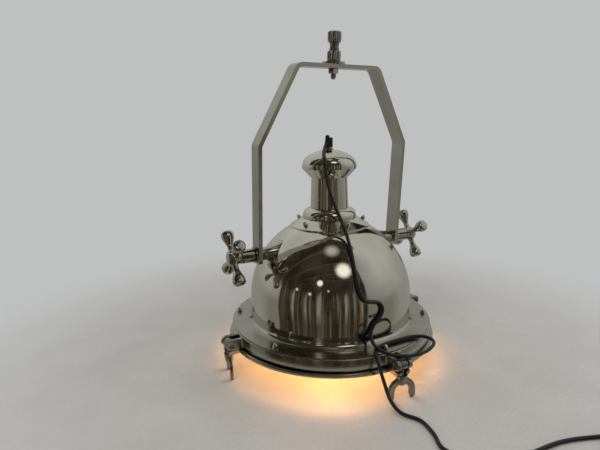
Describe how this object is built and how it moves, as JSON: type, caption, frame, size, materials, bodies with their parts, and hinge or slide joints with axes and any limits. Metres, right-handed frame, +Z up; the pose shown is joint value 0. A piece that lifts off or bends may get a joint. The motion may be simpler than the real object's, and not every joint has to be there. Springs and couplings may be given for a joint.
{
  "type": "ship lamp",
  "caption": "Polished domed cargo pendant with a chimney cap, tilting yoke, cross handles, clamped glass rim and a black cord.",
  "frame": {"origin": "centre of the lamp on the surface that the wing nuts of its four clamps stand on", "axes": "+Z up along the dome's axis; X along the trunnions of the yoke; the cord comes down the -Y side"},
  "size_m": [0.4758, 0.7393, 0.5981],
  "materials": {
    "polished": "polished nickel plate over brass sheet",
    "plated_rim": "nickel plate, polished, with casting and turning marks",
    "plated_frame": "nickel plate, polished by hand",
    "aged_plate": "rough casting under worn nickel plate",
    "bright_fastener": "bright plated",
    "hanger_steel": "machined and knurled",
    "hanger_neck": "dull, ribbed",
    "plain_steel": "plain turned",
    "seal_rubber": "matte",
    "front_glass": "clear",
    "holder_ceramic": "glazed white porcelain",
    "bulb_cap_metal": "satin",
    "bulb_glass": "frosted, warm white",
    "black_tape": "wound electrical tape, satin",
    "cord_rubber": "satin rubber sheath",
    "pin_metal": "nickel-plated pins"
  },
  "bodies": {
    "lamp": {"dome": "polished", "collar": "polished", "chimney_tube": "polished", "cap": "polished", "rim_ring": "plated_rim", "bezel": "plated_rim", "clamp_washer_left": "plated_frame", "clamp_washer_right": "plated_frame", "trunnion_boss_left": "plated_frame", "trunnion_boss_right": "plated_frame", "clevis_pins": "aged_plate", "flange_studs": "bright_fastener", "flange_washers": "bright_fastener", "flange_nuts": "bright_fastener", "collar_studs": "bright_fastener", "collar_nuts": "bright_fastener", "gland": "hanger_steel", "trunnion_stud_left": "plain_steel", "trunnion_stud_right": "plain_steel", "saddle_pads": "plain_steel", "stud_nuts": "plain_steel", "holder_tube": "plain_steel", "gland_locknut": "plain_steel", "gasket": "seal_rubber", "glass": "front_glass", "lamp_holder": "holder_ceramic", "bulb_cap": "bulb_cap_metal", "bulb": "bulb_glass", "splice": "black_tape", "lamp_lead": "cord_rubber", "cord": "cord_rubber", "cord_coil": "cord_rubber", "plug": "cord_rubber", "plug_pins": "pin_metal"},
    "yoke": {"yoke": "plated_frame", "hanger_washer": "hanger_steel", "hanger_stud": "hanger_steel", "hanger_hex_nut": "bright_fastener", "hanger_neck": "hanger_neck"},
    "lower_knurled_nut": {"lower_knurled_nut": "hanger_steel"},
    "upper_knurled_nut": {"upper_knurled_nut": "hanger_steel"},
    "handle_left": {"cross_handle_left": "plated_frame", "clamp_sleeve_left": "plated_frame"},
    "handle_right": {"cross_handle_right": "plated_frame", "clamp_sleeve_right": "plated_frame"},
    "swing_bolt_right": {"swing_bolt_right": "aged_plate"},
    "wing_nut_right": {"wing_nut_right": "aged_plate"},
    "swing_bolt_rear": {"swing_bolt_rear": "aged_plate"},
    "wing_nut_rear": {"wing_nut_rear": "aged_plate"},
    "swing_bolt_left": {"swing_bolt_left": "aged_plate"},
    "wing_nut_left": {"wing_nut_left": "aged_plate"},
    "swing_bolt_front": {"swing_bolt_front": "aged_plate"},
    "wing_nut_front": {"wing_nut_front": "aged_plate"}
  },
  "joints": [
    {"name": "yoke_tilt", "type": "hinge", "parent": "lamp", "child": "yoke", "pos_m": [0, 0, 0.214], "axis": [1, 0, 0], "range_deg": [-104.5, 95.5]},
    {"name": "handle_turn_left", "type": "hinge", "parent": "lamp", "child": "handle_left", "pos_m": [-0.19, 0, 0.214], "axis": [-1, 0, 0], "continuous": true},
    {"name": "handle_turn_right", "type": "hinge", "parent": "lamp", "child": "handle_right", "pos_m": [0.19, 0, 0.214], "axis": [1, 0, 0], "continuous": true},
    {"name": "lower_nut_turn", "type": "hinge", "parent": "yoke", "child": "lower_knurled_nut", "pos_m": [-0.005, -0.027, 0.55704], "axis": [0, -0.0785, 0.9969], "continuous": true},
    {"name": "upper_nut_turn", "type": "hinge", "parent": "yoke", "child": "upper_knurled_nut", "pos_m": [-0.005, -0.02948, 0.58854], "axis": [0, -0.0785, 0.9969], "continuous": true},
    {"name": "clamp_swing_right", "type": "hinge", "parent": "lamp", "child": "swing_bolt_right", "pos_m": [0.2148, 0.00938, 0.061], "axis": [0.0436, -0.999, 0], "range_deg": [0, 90]},
    {"name": "wing_nut_turn_right", "type": "hinge", "parent": "swing_bolt_right", "child": "wing_nut_right", "pos_m": [0.2148, 0.00938, 0.03], "axis": [0, 0, 1], "continuous": true},
    {"name": "clamp_swing_rear", "type": "hinge", "parent": "lamp", "child": "swing_bolt_rear", "pos_m": [-0.00938, 0.2148, 0.061], "axis": [0.999, 0.0436, 0], "range_deg": [0, 90]},
    {"name": "wing_nut_turn_rear", "type": "hinge", "parent": "swing_bolt_rear", "child": "wing_nut_rear", "pos_m": [-0.00938, 0.2148, 0.03], "axis": [0, 0, 1], "continuous": true},
    {"name": "clamp_swing_left", "type": "hinge", "parent": "lamp", "child": "swing_bolt_left", "pos_m": [-0.2148, -0.00938, 0.061], "axis": [-0.0436, 0.999, 0], "range_deg": [0, 90]},
    {"name": "wing_nut_turn_left", "type": "hinge", "parent": "swing_bolt_left", "child": "wing_nut_left", "pos_m": [-0.2148, -0.00938, 0.03], "axis": [0, 0, 1], "continuous": true},
    {"name": "clamp_swing_front", "type": "hinge", "parent": "lamp", "child": "swing_bolt_front", "pos_m": [0.00938, -0.2148, 0.061], "axis": [-0.999, -0.0436, 0], "range_deg": [0, 90]},
    {"name": "wing_nut_turn_front", "type": "hinge", "parent": "swing_bolt_front", "child": "wing_nut_front", "pos_m": [0.00938, -0.2148, 0.03], "axis": [0, 0, 1], "continuous": true}
  ]
}
